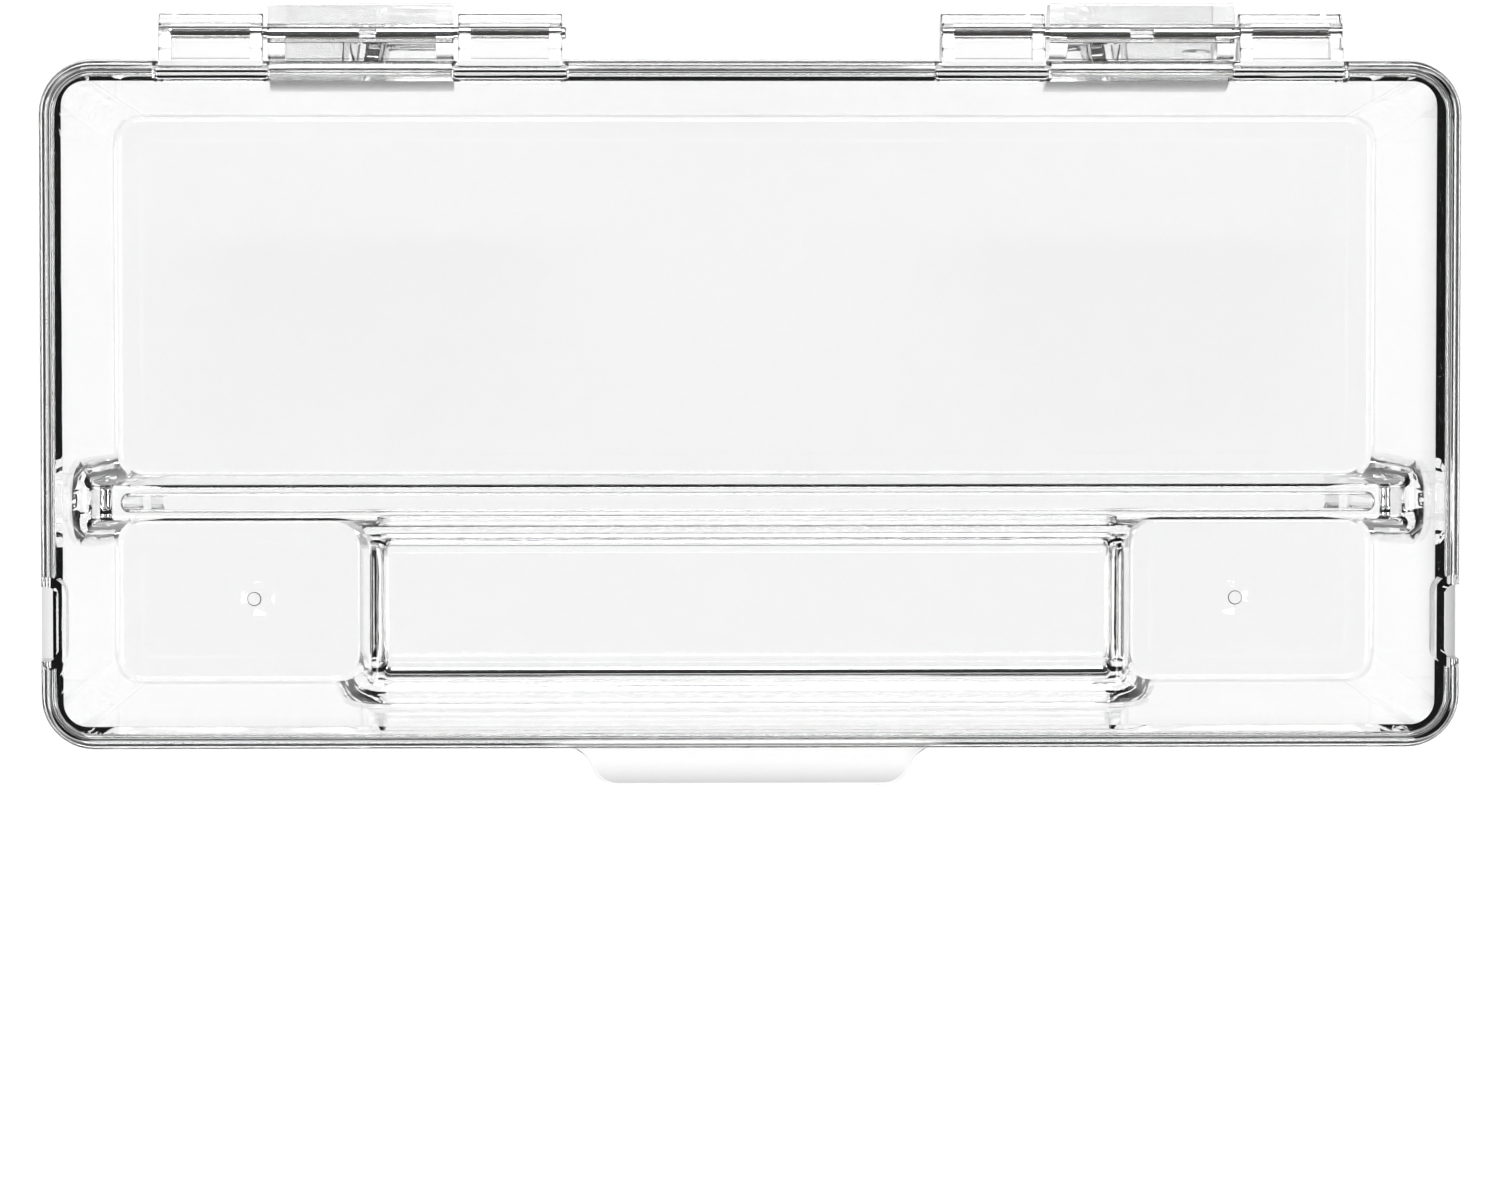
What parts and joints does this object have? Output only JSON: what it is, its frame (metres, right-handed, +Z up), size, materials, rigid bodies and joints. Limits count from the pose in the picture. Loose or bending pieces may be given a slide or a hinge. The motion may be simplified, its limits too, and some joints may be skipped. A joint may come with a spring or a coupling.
{
  "type": "toothbrush storage box",
  "caption": "Clear plastic toothbrush box with a hinged lid, a long rear bay, a front bay with end wells and a raised middle, and a thumb tab at the front.",
  "frame": {"origin": "under the middle of the closed box's outline, hinges and tab included, on the surface that it stands on", "axes": "+X along the length to the user's right, -Y towards the user at the tab, +Z up"},
  "size_m": [0.221, 0.1216, 0.038],
  "materials": {
    "clear_plastic": "clear, polished mould surface",
    "pin_steel": "bright drawn wire"
  },
  "bodies": {
    "base": {"base": "clear_plastic", "hinge_pin_left_outer": "pin_steel", "hinge_pin_left_inner": "pin_steel", "hinge_pin_right_inner": "pin_steel", "hinge_pin_right_outer": "pin_steel"},
    "lid": {"lid": "clear_plastic"}
  },
  "joints": [
    {"name": "lid_hinge", "type": "hinge", "parent": "base", "child": "lid", "pos_m": [0, 0.05625, 0.033], "axis": [-1, 0, 0], "range_deg": [0, 108]}
  ]
}
